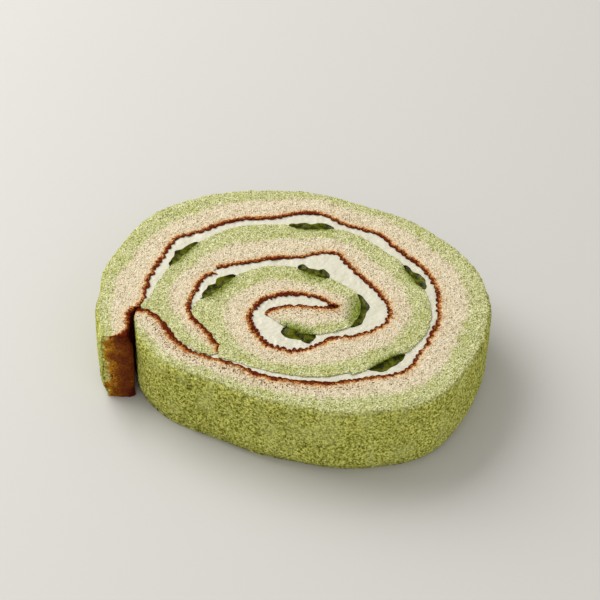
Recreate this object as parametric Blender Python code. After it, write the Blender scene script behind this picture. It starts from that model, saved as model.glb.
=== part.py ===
"""A slice of grape roll cake, lying on one of its two cut faces.

Two sheets of sponge, green on the outer side and white on the inner side, are rolled up with
cream. The inner sheet starts in a fold at the heart and winds outwards for two turns and a third.
The outer sheet is wrapped once round it and laps over its own start. Pieces of grape jelly lie in
the cream, on the green face of the sponge inside them. Sizes are in millimetres, seen from above
with +Z up, and the slice stands on the origin by the middle of its base.
"""

import math
from dataclasses import dataclass

import bmesh
import bpy
import numpy as np

MM = 0.001

# Driving dimensions
HEIGHT = 22.0            # thickness of the slice, which is its height as it lies
GAP = 0.3                # clearance between pieces that touch
CREAM_RECESS = 0.3       # how far the cream stops short of both cut faces
JELLY_RECESS = 0.5       # and the jelly
THINNEST = 0.3           # least thickness of any layer at a tapered end
THIN_CREAM = 1.9         # least room left for the cream, its gaps and the creases beside it
PRESSED_MOST = 4.5       # widest room that the sponge swells into where it carries no cream
DRAWN_MOST = 0.4         # share of a layer's width by which its wall is drawn in at most

# The outer sheet's lapping end: length and depth of the rounding on its skin, and on its face
LAP_SKIN_ROUNDING = (6.0, 2.6)
LAP_FACE_ROUNDING = (1.6, 0.9)

# The browned skin on a sheet's inner side swells towards the cream and is creased across
SKIN = 1.1               # how far it swells at most
INNER_CREASE = 0.8       # depth of the creases
OUTER_CREASE = 0.6

# Sampling
SPACING = 1.4            # distance between cross-sections along a sheet's middle
FINE = 0.25              # distance between points of a spline before that
OUTER_REACH = 14.0       # length over which the outer sheet's direction is evened
INNER_REACH = 2.5        # the inner sheet's
CREAM_REACH = 28.0       # and the direction across the cream
SHARP_ANGLE = math.radians(40)

# Stations along a sheet's skin line, from its start, anticlockwise seen from above: x and y
# from the roll's eye, and from there outwards the thickness of the white and of the green layer
OUTER_SHEET = (
    (-41.6, -5.7, 2.6, 0.9),     # start, tapered under the lapping end
    (-39.5, -5.5, 4.8, 2.2),
    (-36.8, -6.6, 5.8, 2.8),
    (-33.5, -11.2, 5.8, 2.9),
    (-27.2, -20.0, 4.3, 3.4),
    (-21.7, -22.8, 4.3, 3.4),
    (-15.2, -25.2, 4.6, 3.7),
    (-7.1, -29.2, 4.3, 4.0),
    (2.0, -30.9, 4.9, 4.3),      # bottom
    (11.1, -31.1, 5.3, 5.8),
    (20.2, -28.8, 6.0, 6.8),
    (28.9, -26.1, 6.4, 6.4),     # lower right corner
    (32.9, -19.7, 7.1, 6.4),
    (37.3, -9.5, 6.9, 6.8),
    (38.6, 1.0, 7.8, 6.4),
    (37.1, 10.0, 7.6, 6.2),
    (28.0, 22.3, 7.2, 5.8),
    (21.8, 29.0, 6.4, 4.6),
    (14.5, 32.0, 6.2, 4.4),
    (8.0, 36.0, 6.0, 3.6),       # top
    (1.0, 36.8, 6.2, 4.4),
    (-6.0, 34.7, 7.2, 5.8),
    (-16.0, 33.3, 7.6, 5.8),
    (-27.0, 27.6, 6.8, 7.8),
    (-32.9, 24.4, 5.7, 7.3),     # upper left corner
    (-36.0, 17.0, 7.0, 6.1),
    (-39.1, 8.0, 8.0, 5.4),
    (-39.9, 1.0, 8.8, 4.0),
    (-40.9, -2.6, 7.8, 4.3),
    (-43.3, -5.8, 5.3, 4.6),
    (-43.4, -10.0, 4.5, 4.2),
    (-43.6, -16.2, 3.9, 3.4),    # lapping end
)
INNER_SHEET = (
    (-7.4, -5.8, 5.0, 1.6),      # start, a slanted end beside the cream
    (-5.2, -3.6, 5.2, 2.2),
    (-1.0, -2.6, 5.8, 3.2),
    (4.5, -2.6, 6.6, 4.2),
    (9.6, -2.9, 5.4, 3.5),
    (11.2, -2.2, 4.6, 3.5),      # fold at the heart
    (9.6, -0.3, 4.0, 3.9),
    (0.5, 2.7, 5.1, 5.7),
    (-5.0, 1.7, 6.3, 6.0),
    (-9.4, -1.8, 6.8, 6.1),
    (-11.3, -7.0, 7.2, 6.3),
    (-10.0, -12.0, 5.8, 5.2),
    (-6.6, -17.0, 5.8, 3.7),
    (-1.0, -19.1, 5.3, 3.8),
    (4.8, -18.1, 6.4, 5.1),
    (9.0, -15.3, 8.2, 5.5),
    (17.5, -12.8, 6.8, 5.8),
    (25.6, -4.4, 5.4, 5.5),      # right, one turn out
    (24.4, 0.9, 6.0, 5.6),
    (15.7, 13.5, 6.4, 5.6),
    (9.8, 20.2, 5.4, 4.6),       # peak at the top
    (3.5, 18.9, 7.0, 5.2),
    (-5.0, 17.3, 7.6, 6.7),
    (-15.0, 14.8, 8.0, 6.4),
    (-21.2, 12.2, 5.7, 6.0),
    (-24.6, 8.2, 5.7, 4.6),
    (-27.2, 0.0, 6.4, 4.2),
    (-27.9, -5.0, 3.6, 4.6),     # left, two turns out
    (-25.7, -9.3, 3.3, 3.4),
    (-20.1, -17.4, 1.8, 3.0),
    (-18.7, -20.9, 0.5, 0.4),    # tail, pressed thin between its neighbours
)

# Places where the inner sheet's skin thins to nothing: x, y and the length over which it does
INNER_THIN = (
    (11.2, -2.2, 7.0),           # fold at the heart
    (-18.7, -20.9, 4.0),         # tail
)

# Where each cream filling begins and ends along the skin outside it, and the length over which
# it runs thin before each end
OUTER_CREAM_ENDS = ((-18.6, -24.0, 0.0), (-40.5, -2.6, 7.0))
INNER_CREAM_ENDS = ((9.2, 0.0, 0.0), (-27.8, -3.6, 6.0))

# Pieces of jelly: middle x and y on the green face they lie on, length along it, how far they
# stand out of it into the cream, and how deep they are sunk in it
OUTER_JELLY = {
    "jelly_lower_right": (24.8, -23.2, 11.5, 1.3, 1.0),
    "jelly_right": (32.2, 10.8, 11.5, 0.9, 1.2),
    "jelly_top": (4.0, 30.4, 13.0, 1.9, 0.9),
    "jelly_upper_left": (-31.0, 18.5, 12.5, 1.5, 0.8),
}
INNER_JELLY = {
    "jelly_heart": (0.6, -13.0, 10.0, 2.2, 0.5),
    "jelly_inner_right": (18.9, -3.5, 14.0, 0.5, 1.4),
    "jelly_inner_top": (5.2, 12.2, 10.0, 1.7, 1.1),
    "jelly_inner_left": (-20.9, 5.2, 12.8, 1.6, 0.9),
}

# Outer wall from the base up: share of the height, and how far it lies inside the outline
WALL_PROFILE = ((0.0, 2.0), (0.07, 0.8), (0.3, 0.1), (0.93, 0.0), (1.0, 0.7))
PLAIN_WALL = ((0.0, 0.0), (1.0, 0.0))

# Colours as they look, roughness
GREEN_SPONGE = ("green_sponge", (0.66, 0.74, 0.44), 0.9)
WHITE_SPONGE = ("white_sponge", (0.87, 0.81, 0.68), 0.9)
CREAM = ("whipped_cream", (0.92, 0.93, 0.86), 0.5)
JELLY = ("grape_jelly", (0.27, 0.33, 0.10), 0.15)


@dataclass
class Sheet:
    """Cross-sections along a sheet of sponge, and how far outwards each of its sides lies there."""

    skin: np.ndarray         # points on the smooth skin line
    out: np.ndarray          # unit vectors outwards, across the sheet
    crest: np.ndarray        # distance out to the crests of the skin
    creased: np.ndarray      # to the creased skin
    white: np.ndarray        # and to the white layer's outer side
    green: np.ndarray        # the green layer's inner side
    face: np.ndarray         # the sheet's outer face

    def line(self, distance):
        return self.skin + self.out * distance[:, None]


def walked(points):
    """Distance covered on reaching each point of a line."""
    steps = np.linalg.norm(np.diff(points, axis=0), axis=1)
    return np.concatenate([[0.0], np.cumsum(steps)])


def resampled(rows, line, step):
    """The rows interpolated at even steps along a line that has one point for each row."""
    reached = walked(line)
    count = round(reached[-1] / step) + 1
    even = np.linspace(0.0, reached[-1], count)
    return np.stack([np.interp(even, reached, column) for column in rows.T], axis=1)


def spline(stations):
    """Natural cubic spline through the stations, in rows FINE apart.

    A span is the straight run between its stations plus a cubic term in the second derivative
    at each end, and those derivatives solve the equations that keep the slope unbroken.
    """
    rows = np.array(stations)
    knot = walked(rows[:, :2])
    span = np.diff(knot)
    equations = np.eye(len(rows))
    slope_change = np.zeros_like(rows)
    for i in range(1, len(rows) - 1):
        equations[i, i - 1:i + 2] = span[i - 1], 2 * (span[i - 1] + span[i]), span[i]
        slope_change[i] = (rows[i + 1] - rows[i]) / span[i] - (rows[i] - rows[i - 1]) / span[i - 1]
    bend = np.linalg.solve(equations, 6 * slope_change)
    at = np.linspace(0.0, knot[-1], round(knot[-1] / FINE) + 1)
    k = np.clip(np.searchsorted(knot, at, side="right") - 1, 0, len(span) - 1)
    width = span[k][:, None]
    left = (knot[k + 1] - at)[:, None] / width
    right = (at - knot[k])[:, None] / width
    straight = rows[k] * left + rows[k + 1] * right
    curved = bend[k] * (left ** 3 - left) + bend[k + 1] * (right ** 3 - right)
    return straight + curved * width ** 2 / 6


def evened(values, points, reach):
    """Running weighted mean of the values, over the given length of the line of points."""
    step = walked(points)[-1] / (len(points) - 1)
    half = max(1, round(reach / step))
    weights = np.hanning(2 * half + 3)[1:-1]
    padded = np.pad(values, ((half, half), (0, 0)), mode="edge")
    columns = [np.convolve(column, weights / weights.sum(), "valid") for column in padded.T]
    return np.stack(columns, axis=1)


def unit(vectors):
    return vectors / np.linalg.norm(vectors, axis=1, keepdims=True)


def outward(points, reach):
    """Unit vectors to the right of the way along the line, with its direction evened out."""
    along = evened(np.gradient(points, axis=0), points, reach)
    return unit(np.stack([along[:, 1], -along[:, 0]], axis=1))


def closing(to_end, rounding):
    """How far a side has closed in at a distance from the end, along a quarter of an ellipse.

    It is the rounding's depth times 1 less the root of 1 less u squared, with u from 0 to 1 over
    the rounding's length.
    """
    length, depth = rounding
    u = np.clip(1 - to_end / length, 0.0, 1.0)
    return depth * (1 - np.sqrt(1 - u ** 2))


def rolled_sheet(stations, reach, crease, thinned, seed):
    """Sections of one sheet, evenly spaced along its middle.

    The skin lies inwards of its line by its own thickness, less a seeded random crease.
    """
    fine = spline(stations)
    out = outward(fine[:, :2], reach)
    middle = fine[:, :2] + out * fine[:, 2:].sum(axis=1, keepdims=True) / 2
    rows = resampled(np.hstack([fine, out]), middle, SPACING)
    skin, border, out = rows[:, :2], rows[:, 2], unit(rows[:, 4:])
    crest = np.full(len(skin), -SKIN)
    for x, y, length in thinned:
        crest = np.maximum(crest, -SKIN * (1 - lens(skin, (x, y), length)))
    white = border - GAP / 2
    creased = crest + crease * np.random.default_rng(seed).uniform(0, 1, len(skin))
    creased = np.minimum(creased, white - THINNEST)
    return Sheet(skin, out, crest, creased, white, border + GAP / 2, border + rows[:, 3])


def rounded_end(sheet):
    """Closes in both sides of the sheet towards its last section."""
    reached = walked(sheet.skin)
    to_end = reached[-1] - reached
    sheet.creased += closing(to_end, LAP_SKIN_ROUNDING)
    sheet.face -= closing(to_end, LAP_FACE_ROUNDING)


def band(name, inner, outer, low, high, wall=PLAIN_WALL):
    """A closed band between two lines, from low to high, with its outer side on a wall profile.

    Section i joins the two points numbered i. Its ring of corners goes down the inner side and
    up the outer side, each corner there drawn back towards the inner side by the profile.
    """
    across = outer - inner
    width = np.linalg.norm(across, axis=1)
    heading = across / width[:, None]
    ring = [np.column_stack([inner, np.full(len(inner), z)]) for z in (high, low)]
    for share, inset in wall:
        drawn = outer - heading * np.minimum(inset, DRAWN_MOST * width)[:, None]
        ring.append(np.column_stack([drawn, np.full(len(outer), low + share * (high - low))]))
    corners = np.stack(ring, axis=1)
    sections, sides = corners.shape[:2]
    number = np.arange(sections * sides).reshape(sections, sides)
    onward = np.roll(number, -1, axis=1)
    quads = np.stack([number[:-1], number[1:], onward[1:], onward[:-1]], axis=-1).reshape(-1, 4)
    faces = quads.tolist() + [number[0].tolist(), number[-1][::-1].tolist()]
    mesh = bpy.data.meshes.new(name)
    mesh.from_pydata((corners.reshape(-1, 3) * MM).tolist(), [], faces)
    shell = bmesh.new()
    shell.from_mesh(mesh)
    bmesh.ops.recalc_face_normals(shell, faces=shell.faces)
    shell.to_mesh(mesh)
    shell.free()
    mesh.shade_smooth()
    mesh.set_sharp_from_angle(angle=SHARP_ANGLE)
    return bpy.data.objects.new(name, mesh)


def cross(p, q):
    return p[..., 0] * q[..., 1] - p[..., 1] * q[..., 0]


def room(starts, headings, wall):
    """Distance from each start, along its heading, to where it first meets the wall.

    A heading meets the stretch from a to b where start + t heading = a + u (b - a) with u between
    0 and 1. The least t counts, past a small one that would be the start's own side. The number
    of the stretch that is met comes with it.
    """
    edge = np.diff(wall, axis=0)[None]
    offset = wall[None, :-1] - starts[:, None]
    facing = cross(headings[:, None], edge)
    facing[facing == 0] = 1e-9
    distance = cross(offset, edge) / facing
    share = cross(offset, headings[:, None]) / facing
    meets = (share >= 0) & (share <= 1) & (distance > 2 * GAP)
    distance = np.where(meets, distance, np.inf)
    return distance.min(axis=1), distance.argmin(axis=1)


def nearest(points, place):
    return int(np.argmin(np.linalg.norm(points - np.array(place), axis=1)))


def least_beside(values):
    """Each value, or the least of it and its neighbours."""
    padded = np.pad(values, 1, mode="edge")
    return np.minimum(np.minimum(padded[:-2], padded[2:]), values)


def bare_share(sheet, ends):
    """1 along a sheet's skin where it carries no cream, falling to 0 where the cream runs thin."""
    reached = walked(sheet.skin)
    share = np.zeros_like(reached)
    for (x, y, thin), away in zip(ends, (1, -1)):
        past = away * (reached[nearest(sheet.skin, (x, y))] - reached)
        share = np.maximum(share, np.where(past > 0, 1.0, 1 + past / max(thin, FINE)))
    return np.clip(share, 0.0, 1.0)


def pressed(inner, outer):
    """Lays the inner sheet's face against the skin round it where that skin carries no cream.

    Where the cream runs thin the face goes a share of the way, and the cream keeps its room.
    """
    skin = inner.face + PRESSED_MOST
    share = np.zeros_like(skin)
    for sheet, ends in ((outer, OUTER_CREAM_ENDS), (inner, INNER_CREAM_ENDS)):
        distance, met = room(inner.line(inner.green), inner.out, sheet.line(sheet.creased))
        closer = inner.green + distance < skin
        skin[closer] = (inner.green + distance)[closer]
        share[closer] = bare_share(sheet, ends)[met][closer]
    skin = least_beside(skin)
    part_way = np.minimum(inner.face + share * (skin - GAP - inner.face), skin - THIN_CREAM)
    laid = np.where(share < 1, part_way, skin - GAP)
    inner.face = np.maximum(laid, inner.green + THINNEST)


def lens(points, place, length):
    """1 at the point nearest the place, falling to 0 along half an ellipse of that length."""
    reached = walked(points)
    u = (reached - reached[nearest(points, place)]) / (length / 2)
    return np.sqrt(np.clip(1 - u ** 2, 0, None))


def filling(name, sheet, ends, wall, jellies):
    """The cream between a sheet's skin and the sponge inside it, and the jelly set into it.

    At each section the cream spans what is left between the skin's crests and the wall inside
    them, and it stops a section short of both ends, where the sponge swells out. A piece of jelly
    is a lens on that wall, and the cream is thinner there by as much.
    """
    first, last = (nearest(sheet.skin, end[:2]) for end in ends)
    part = slice(first + 1, last)
    crest = sheet.line(sheet.crest)[part]
    inward = -unit(evened(sheet.out[part], crest, CREAM_REACH))
    free = least_beside(room(crest, inward, wall)[0]) - GAP
    far = crest + inward * free[:, None]
    taken = np.zeros_like(free)
    pieces = []
    for title, (x, y, length, proud, sunk) in jellies.items():
        bulge = (proud + sunk) * lens(far, (x, y), length)
        inside = bulge > 0
        bulge = np.clip(bulge[inside], THINNEST, free[inside] - 2 * GAP - THINNEST)
        taken[inside] = bulge + GAP
        near = far[inside] - inward[inside] * bulge[:, None]
        low, high = JELLY_RECESS, HEIGHT - JELLY_RECESS
        pieces.append(finished(band(title, far[inside], near, low, high), JELLY))
    near = sheet.line(sheet.creased - GAP)[part]
    edge = crest + inward * np.maximum(free - taken, GAP + THINNEST)[:, None]
    low, high = CREAM_RECESS, HEIGHT - CREAM_RECESS
    pieces.append(finished(band(name, edge, near, low, high), CREAM))
    return pieces


def linear(channel):
    """Linear light for one channel of a colour as it looks."""
    return channel / 12.92 if channel <= 0.04045 else ((channel + 0.055) / 1.055) ** 2.4


def finished(piece, finish):
    """The piece with its own material."""
    title, colour, roughness = finish
    material = bpy.data.materials.new(f"{title}_of_{piece.name}")
    material.use_nodes = True
    shader = material.node_tree.nodes["Principled BSDF"]
    shader.inputs["Base Color"].default_value = (*map(linear, colour), 1.0)
    shader.inputs["Roughness"].default_value = roughness
    shader.inputs["Metallic"].default_value = 0.0
    piece.data.materials.append(material)
    return piece


def layers(name, sheet, wall):
    """The white and the green layer of one sheet."""
    white = band(f"{name}_white", sheet.line(sheet.creased), sheet.line(sheet.white), 0.0, HEIGHT)
    green = band(f"{name}_green", sheet.line(sheet.green), sheet.line(sheet.face), 0.0, HEIGHT, wall)
    return [finished(white, WHITE_SPONGE), finished(green, GREEN_SPONGE)]


def build():
    for leftover in list(bpy.data.objects):
        bpy.data.objects.remove(leftover, do_unlink=True)

    outer = rolled_sheet(OUTER_SHEET, OUTER_REACH, OUTER_CREASE, (), seed=3)
    rounded_end(outer)
    inner = rolled_sheet(INNER_SHEET, INNER_REACH, INNER_CREASE, INNER_THIN, seed=5)
    face = inner.line(inner.face)
    for x, y, length, proud, sunk in (OUTER_JELLY | INNER_JELLY).values():
        inner.face -= sunk * lens(face, (x, y), length)
    pressed(inner, outer)
    creased = inner.line(inner.creased)
    outline_of_inner = np.vstack([creased[::-1], inner.line(inner.face), creased[-1:]])
    pieces = layers("outer_sheet", outer, WALL_PROFILE)
    pieces += layers("inner_sheet", inner, PLAIN_WALL)
    pieces += filling("outer_cream", outer, OUTER_CREAM_ENDS, outline_of_inner, OUTER_JELLY)
    pieces += filling("inner_cream", inner, INNER_CREAM_ENDS, outline_of_inner, INNER_JELLY)

    # The roll's eye carries every piece, off the origin so that the slice is centred on it
    outline = outer.line(outer.face)
    middle = (outline.min(axis=0) + outline.max(axis=0)) / 2
    eye = bpy.data.objects.new("roll_eye", None)
    eye.location = (-middle[0] * MM, -middle[1] * MM, 0.0)
    cake = bpy.data.collections.new("grape_roll_cake")
    bpy.context.scene.collection.children.link(cake)
    cake.objects.link(eye)
    for piece in pieces:
        cake.objects.link(piece)
        piece.parent = eye


build()
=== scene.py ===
"""Looks of one slice of grape roll cake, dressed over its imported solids.

The slice lies on a cut face. Each layer of sponge, both creams and each piece of jelly replace
their own solid with a surface worked out from the same stations. The tables are in millimetres
from the roll's eye, seen from above, and each finished mesh is in metres in the frame's own place.
"""

import itertools
import math
from dataclasses import dataclass

import bpy
import numpy as np
from mathutils import Matrix, Vector


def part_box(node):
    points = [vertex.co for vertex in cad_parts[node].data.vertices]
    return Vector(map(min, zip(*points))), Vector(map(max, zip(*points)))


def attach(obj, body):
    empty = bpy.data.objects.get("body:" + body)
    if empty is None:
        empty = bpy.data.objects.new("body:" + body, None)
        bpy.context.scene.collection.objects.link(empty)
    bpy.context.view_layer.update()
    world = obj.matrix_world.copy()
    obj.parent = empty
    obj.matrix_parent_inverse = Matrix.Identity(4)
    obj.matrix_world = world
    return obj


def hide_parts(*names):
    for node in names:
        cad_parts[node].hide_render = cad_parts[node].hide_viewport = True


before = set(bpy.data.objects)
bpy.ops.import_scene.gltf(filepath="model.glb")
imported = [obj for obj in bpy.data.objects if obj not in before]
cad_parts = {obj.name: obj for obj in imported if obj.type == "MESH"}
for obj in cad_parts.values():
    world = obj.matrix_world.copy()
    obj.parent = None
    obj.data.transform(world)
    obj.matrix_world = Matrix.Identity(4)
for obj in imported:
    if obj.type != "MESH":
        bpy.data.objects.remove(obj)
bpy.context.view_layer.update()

MM = 0.001
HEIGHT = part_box("outer_sheet_green")[1].z / MM

# The solids' own driving dimensions
SKIN = 1.1  # how far the browned skin swells towards the cream at most
FINE = 0.25  # distance between points of a spline
OUTER_REACH = 14.0  # length over which the outer sheet's direction is evened
INNER_REACH = 2.5  # the inner sheet's
CREAM_REACH = 28.0  # and the direction across the cream
PRESSED_MOST = 4.5  # widest room that the sponge swells into where it carries no cream

# The outer sheet's lapping end
LAP_SKIN_ROUNDING = (6.0, 2.1)  # length and depth over which its skin closes in
LAP_FACE_ROUNDING = (1.6, 0.9)  # and its face
LAP_BROWNED = (3.0, 1.6)  # length over which more of it is browned, and how much more
LAP_BULGE = 2.1  # how far the crust bulges into the crease
LAP_BULGE_LENGTH = 3.0  # over which length along the sheet
LAP_BULGE_DEPTHS = (0.5, 5.0)  # how far below the cut face the bulge begins and is full
START_CRUST = 1.5  # how far from its start the outer sheet is crusted too
IN_CREASE = -9.0  # mark of the crust deep in the crease
NO_CRUST = 99.0  # mark where there is none

# The finished surfaces
OUTER_SPACING = 0.28  # distance between cross-sections along the outer sheet
INNER_SPACING = 0.21  # and the inner one
CREAM_RECESS = 0.3  # how far the cream stops short of both cut faces
CREAM_LAP = 0.12  # how far it laps into the sponge on both sides
CREAM_BEHIND = 0.9  # how far behind the skin's crests the wall across it may lie
CREAM_WIDEST = 9.0
THIN_CREAM = 0.45  # least thickness of the cream between its ends
THINNEST = 0.15  # and of a layer of sponge
EVENED_FACE = 0.7  # length over which the pressed face is evened
JELLY_RECESS = 0.35  # how far the jelly stops short of both cut faces
JELLY_SAG = 0.4  # how much deeper its middle lies
JELLY_FULLNESS = 1.15  # its thickness as a share of the pocket's
JELLY_LEAST = 0.05  # least thickness of the jelly
JELLY_SPARED = 0.3  # least room left beside it for the cream
JELLY_OFF = 0.1  # how far it stays off the sponge
NEAR = 3.0  # how close a line passes a place that lies on it
OWN_SIDE = 14  # stretches of wall on both sides of a start that count as its own

# Edges of a band, upper and lower: how far each is drawn in, and over which height
SIDE_EDGES = ((1.1, 2.1), (2.0, 6.6))
CUT_EDGES = ((0.1, 0.3), (0.1, 0.3))
JELLY_EDGES = ((0.2, 1.0), (0.2, 1.0))
SQUARE_EDGES = ((0.0, 1.0), (0.0, 1.0))

# Places round a band's cross-section: across the top, down the outer wall and up the inner one
OUTER_WHITE_PLACES = (30, 4, 14)
OUTER_GREEN_PLACES = (24, 62, 4)
INNER_WHITE_PLACES = (32, 4, 14)
INNER_GREEN_PLACES = (26, 16, 4)
CREAM_PLACES = (16, 10, 10)
JELLY_PLACES = (12, 10, 10)
BELOW_PLACES = 6  # across every band's lower face
CAP_RINGS = 6  # rings that close each end of a piece
CAP_CLOSED = 0.49  # share of the width by which the innermost of them is drawn in
INSET_MOST = 0.45  # largest share of the width by which an edge is drawn in

# The skin's beads: least and most width, and how deep the creases between them are
OUTER_BEADS = ((1.3, 3.6), 0.95)
INNER_BEADS = ((1.3, 3.2), 1.0)
THICK_BEADS = 1.3  # what a thick stretch counts in place of the sideways part
LOWER_BEADS = 0.75  # largest share by which a bead stands lower than the highest

# The browned skin
BEADS_FOLLOWED = 0.6  # share of the beads' relief that its inner edge follows
BROWNED = 0.5  # how thick it is
BROWNED_THICK = 0.4  # how much thicker where the skin is thick
BROWNED_THIN = 0.5  # how much thinner where the skin thins to nothing

# Relief and ragged edges: size across and depth
SKIN_RAGGED = (0.8, 0.15)
BROWNED_RAGGED = ((1.7, 0.3), (4.5, 0.25))
FACE_RAGGED = (1.2, 0.18)
SMALL_BUBBLES = (0.8, 0.34)
LARGE_BUBBLES = (2.3, 0.3)
CRUMB_SWELL = (4.0, 0.15)
SIDE_STREAKS = (1.9, 0.24)  # tears that run up and down the side
SIDE_SWELL = (7.0, 0.2)
RIM_CRUMBS = (1.0, 0.55)  # crumbs broken out of the side's upper edge
CREAM_WAVES = (2.4, 0.25)
CREAM_RIPPLES = (0.7, 0.0875)
JELLY_DIMPLES = (1.6, 0.15)
JELLY_LUMPS = (1.8, 0.4)  # their depth is a share of the jelly's thickness

# Where the relief and the tones of the crumb reach
PIT_SHADE_DEPTH = 0.55  # depth in a bubble at which its painted shade is darkest
SIDE_SUNK = 0.02  # how much deeper the side lies everywhere
STREAK_STRETCH = 0.45  # how much slower streaks change upwards than along the side
RIM_REACH = 1.8  # how far from the side's upper edge crumbs are broken out
SIDE_TONE_AND_RIM_SHADE = (-2.4, 1.8)  # how far onto the cut face the side's tone begins, as painted shade on the rounded rim, and how far down the side it is full
PALE_STREAKS = 2.6  # size of the side's pale streaks
PALE_STRETCH = 0.4
SPECK_DEPTH = 3.8  # how far below the skin the brown specks reach
SOAKED_LENGTH = 1.05  # length of the soaked crumb as a share of the jelly's

# Patterns in the materials: the crumb's are drawn as coarse as the photograph shows them
GRAIN = 0.4167  # grains of crumb
COARSE_GRAIN = 0.6897  # torn grains on the side
DOT = 0.4545  # round grains, brown specks and strays of colour
PORE_CELL = 0.5714  # cells of crumb that hold one open pore or none
BLOTCH = 4.545  # blotches in the dough
CREAM_SMEAR = 2.381
JELLY_CLOUD = 1.613
FLOOR_CLOUD = 333.3

# Colours of the crumb: between its grains and on them
CRUMB_TONES = {
    "white": ("#C9B58B", "#F8F1DB"),
    "green": ("#8C9038", "#FCF9CC"),
    "side": ("#73760F", "#FBFA88"),
    "juicy": ("#3A460A", "#9CAA38"),
}

# The photograph's camera: place from the roll's eye, degrees down and turned, lens and sensor
CAMERA_PLACE = (1.594, -395.062, 377.771)
CAMERA_DOWN = 42.0
CAMERA_TURN = 1.5
CAMERA_LENS = 120.0
CAMERA_SENSOR = 36.0

# Lights: place and size in metres, and watts
LIGHTS = {
    "window": ((-0.50, 0.40, 0.62), 0.7, 8.9),
    "room_fill": ((0.2, -0.7, 0.45), 0.8, 1.56),
}
ROOM_COLOUR = "#F6F5F2"
ROOM_STRENGTH = 0.67
FLOOR_REACH = 3.0  # metres from the middle to each side of the floor

# Stations along a sheet's skin line, from its start, anticlockwise seen from above: x and y,
# and from there outwards the thickness of the white and of the green layer
OUTER_SHEET = (
    (-41.6, -5.7, 2.6, 0.9),     # start, tapered under the lapping end
    (-39.5, -5.5, 4.8, 2.2),
    (-36.8, -6.6, 5.8, 2.8),
    (-33.5, -11.2, 5.8, 2.9),
    (-27.2, -20.0, 4.3, 3.4),
    (-21.7, -22.8, 4.3, 3.4),
    (-15.2, -25.2, 4.6, 3.7),
    (-7.1, -29.2, 4.3, 4.0),
    (2.0, -30.9, 4.9, 4.3),      # bottom
    (11.1, -31.1, 5.3, 5.8),
    (20.2, -28.8, 6.0, 6.8),
    (28.9, -26.1, 6.4, 6.4),     # lower right corner
    (32.9, -19.7, 7.1, 6.4),
    (37.3, -9.5, 6.9, 6.8),
    (38.6, 1.0, 7.8, 6.4),
    (37.1, 10.0, 7.6, 6.2),
    (28.0, 22.3, 7.2, 5.8),
    (21.8, 29.0, 6.4, 4.6),
    (14.5, 32.0, 6.2, 4.4),
    (8.0, 36.0, 6.0, 3.6),       # top
    (1.0, 36.8, 6.2, 4.4),
    (-6.0, 34.7, 7.2, 5.8),
    (-16.0, 33.3, 7.6, 5.8),
    (-27.0, 27.6, 6.8, 7.8),
    (-32.9, 24.4, 5.7, 7.3),     # upper left corner
    (-36.0, 17.0, 7.0, 6.1),
    (-39.1, 8.0, 8.0, 5.4),
    (-39.9, 1.0, 8.8, 4.0),
    (-40.9, -2.6, 7.8, 4.3),
    (-43.3, -5.8, 5.3, 4.6),
    (-43.4, -10.0, 4.5, 4.2),
    (-43.6, -16.2, 3.9, 3.4),    # lapping end
)
INNER_SHEET = (
    (-7.4, -5.8, 5.0, 1.6),      # start, a slanted end beside the cream
    (-5.2, -3.6, 5.2, 2.2),
    (-1.0, -2.6, 5.8, 3.2),
    (4.5, -2.6, 6.6, 4.2),
    (9.6, -2.9, 5.4, 3.5),
    (11.2, -2.2, 4.6, 3.5),      # fold at the heart
    (9.6, -0.3, 4.0, 3.9),
    (0.5, 2.7, 5.1, 5.7),
    (-5.0, 1.7, 6.3, 6.0),
    (-9.4, -1.8, 6.8, 6.1),
    (-11.3, -7.0, 7.2, 6.3),
    (-10.0, -12.0, 5.8, 5.2),
    (-6.6, -17.0, 5.8, 3.7),
    (-1.0, -19.1, 5.3, 3.8),
    (4.8, -18.1, 6.4, 5.1),
    (9.0, -15.3, 8.2, 5.5),
    (17.5, -12.8, 6.8, 5.8),
    (25.6, -4.4, 5.4, 5.5),      # right, one turn out
    (24.4, 0.9, 6.0, 5.6),
    (15.7, 13.5, 6.4, 5.6),
    (9.8, 20.2, 5.4, 4.6),       # peak at the top
    (3.5, 18.9, 7.0, 5.2),
    (-5.0, 17.3, 7.6, 6.7),
    (-15.0, 14.8, 8.0, 6.4),
    (-21.2, 12.2, 5.7, 6.0),
    (-24.6, 8.2, 5.7, 4.6),
    (-27.2, 0.0, 6.4, 4.2),
    (-27.9, -5.0, 3.6, 4.6),     # left, two turns out
    (-25.7, -9.3, 3.3, 3.4),
    (-20.1, -17.4, 1.8, 3.0),
    (-18.7, -20.9, 0.5, 0.4),    # tail, pressed thin between its neighbours
)

# Places where the inner sheet's skin thins to nothing: x, y and the length over which it does
INNER_THIN = (
    (11.2, -2.2, 2.4),           # fold at the heart
    (-18.7, -20.9, 4.0),         # tail
)

# Where the sponge begins and ends to leave room for cream along the skin outside it, and the
# length over which that room narrows before each end
OUTER_CREAM_ENDS = ((-17.2, -24.5, 8.0), (-40.5, -2.6, 7.0))
INNER_CREAM_ENDS = ((9.2, 0.0, 0.0), (-27.8, -3.6, 6.0))

# How far the cream goes on past there, as a thin smear
OUTER_SMEAR_ENDS = ((-28.2, -18.8), (-40.6, -1.8))
INNER_SMEAR_ENDS = ((9.6, -0.3), (-27.9, -5.0))

# Place where the inner sheet's skin is torn: x, y, how far it steps back before that place, and
# how far it juts out as a flap after it
TORN_SKIN = (-22.2, 11.4, 0.9, 1.3)
TORN_FADE = 2.0  # length over which the step and the flap fall off
TORN_BARE = 1.0  # half the length of bare crumb before the place
BARED = 4.0  # how far the browned skin is taken back there

# Place on the side where it is torn deeper: x, y, reach and how much deeper
TORN_SIDE = (-27.0, -29.0, 8.0, 0.9)

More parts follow.
